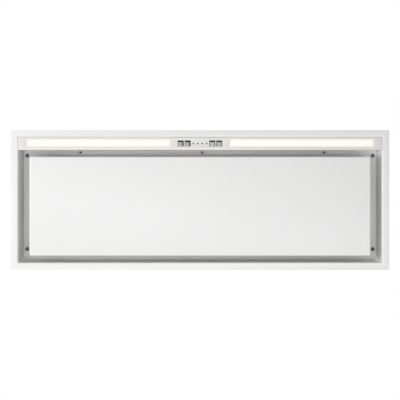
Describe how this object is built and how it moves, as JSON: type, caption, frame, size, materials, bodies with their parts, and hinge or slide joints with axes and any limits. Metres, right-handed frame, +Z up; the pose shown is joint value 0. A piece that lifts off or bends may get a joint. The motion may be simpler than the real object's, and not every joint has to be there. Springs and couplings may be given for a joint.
{
  "type": "built-in range hood",
  "caption": "White built-in extractor hood with a hinged perimeter-suction panel, strip lights and push buttons along the front, and a blower box with a round duct outlet on top.",
  "frame": {"origin": "centre of the flange's underside, the face seen from the hob", "axes": "+X along the hood's length, to the right of a person who faces its controls; -Y the front, where the lights and buttons are; +Z up into the cabinet"},
  "size_m": [0.9, 0.332, 0.3099],
  "materials": {
    "white_lacquer": "fine white powder coat, satin",
    "galvanised_steel": "galvanised sheet, dull",
    "steel": "zinc-plated, satin",
    "aluminium": "mill finish, satin",
    "lens_acrylic": "opal diffuser, lit warm white",
    "indicator_plastic": "smoked clear light guide",
    "white_plastic": "moulded, fine texture",
    "grey_button": "satin moulded keys with dark edges",
    "black_plastic": "moulded, glass-filled",
    "circuit_board": "solder mask",
    "screw_steel": "blackened pan-head screws"
  },
  "bodies": {
    "hood_body": {"outer_frame": "white_lacquer", "recess_tray": "white_lacquer", "header_strip": "white_lacquer", "corner_screw_front_left": "screw_steel", "corner_screw_front_right": "screw_steel", "corner_screw_rear_left": "screw_steel", "corner_screw_rear_right": "screw_steel", "header_screw_left": "screw_steel", "header_screw_middle": "screw_steel", "header_screw_right": "screw_steel", "light_lens_left": "lens_acrylic", "light_lens_right": "lens_acrylic", "light_tray_left": "aluminium", "light_tray_right": "aluminium", "led_strip_left": "circuit_board", "led_strip_right": "circuit_board", "indicator_light_guide": "indicator_plastic", "control_board": "circuit_board", "control_cover": "black_plastic", "hinge_bracket_left": "steel", "hinge_bracket_right": "steel", "hinge_pin_left": "steel", "hinge_pin_right": "steel", "panel_catch_left": "black_plastic", "panel_catch_right": "black_plastic", "filter_frame_left": "aluminium", "filter_frame_right": "aluminium", "filter_mesh_left": "aluminium", "filter_mesh_right": "aluminium", "plenum_housing": "galvanised_steel", "motor_housing": "galvanised_steel", "scroll_half_left": "black_plastic", "scroll_half_right": "black_plastic", "fan_motor": "galvanised_steel", "motor_bearing": "steel", "motor_bracket": "galvanised_steel", "outlet_collar": "black_plastic", "flap_spindle": "steel", "electronics_box": "galvanised_steel", "electronics_lid": "galvanised_steel", "mains_gland": "black_plastic", "capacitor": "aluminium", "power_board": "circuit_board", "terminal_block": "white_plastic"},
    "panel": {"suction_panel": "white_lacquer", "panel_backing": "aluminium", "hinge_arm_left": "steel", "hinge_arm_right": "steel", "strike_plate_left": "steel", "strike_plate_right": "steel"},
    "light_key": {"button_light": "grey_button"},
    "power_key": {"button_power": "grey_button"},
    "slower_key": {"button_slower": "grey_button"},
    "faster_key": {"button_faster": "grey_button"},
    "left_latch": {"filter_latch_left": "black_plastic"},
    "right_latch": {"filter_latch_right": "black_plastic"},
    "fan": {"fan_wheel": "black_plastic", "motor_shaft": "steel"},
    "left_flap": {"flap_left": "black_plastic"},
    "right_flap": {"flap_right": "black_plastic"}
  },
  "joints": [
    {"name": "panel_hinge", "type": "hinge", "parent": "hood_body", "child": "panel", "pos_m": [0, 0.121, 0.022], "axis": [1, 0, 0], "range_deg": [0, 90]},
    {"name": "light_press", "type": "slide", "parent": "hood_body", "child": "light_key", "axis": [0, 0, 1], "range_m": [0, 0.0008], "stiffness_N_per_m": 1500},
    {"name": "power_press", "type": "slide", "parent": "hood_body", "child": "power_key", "axis": [0, 0, 1], "range_m": [0, 0.0008], "stiffness_N_per_m": 1500},
    {"name": "slower_press", "type": "slide", "parent": "hood_body", "child": "slower_key", "axis": [0, 0, 1], "range_m": [0, 0.0008], "stiffness_N_per_m": 1500},
    {"name": "faster_press", "type": "slide", "parent": "hood_body", "child": "faster_key", "axis": [0, 0, 1], "range_m": [0, 0.0008], "stiffness_N_per_m": 1500},
    {"name": "left_latch_slide", "type": "slide", "parent": "hood_body", "child": "left_latch", "axis": [0, 1, 0], "range_m": [0, 0.0058], "stiffness_N_per_m": 400},
    {"name": "right_latch_slide", "type": "slide", "parent": "hood_body", "child": "right_latch", "axis": [0, 1, 0], "range_m": [0, 0.0058], "stiffness_N_per_m": 400},
    {"name": "fan_spin", "type": "hinge", "parent": "hood_body", "child": "fan", "pos_m": [0, -0.0525, 0.1753], "axis": [1, 0, 0], "continuous": true},
    {"name": "left_flap_hinge", "type": "hinge", "parent": "hood_body", "child": "left_flap", "pos_m": [0, 0, 0.2849], "axis": [0, 1, 0], "range_deg": [0, 75]},
    {"name": "right_flap_hinge", "type": "hinge", "parent": "hood_body", "child": "right_flap", "pos_m": [0, 0, 0.2849], "axis": [0, -1, 0], "range_deg": [0, 75]}
  ]
}
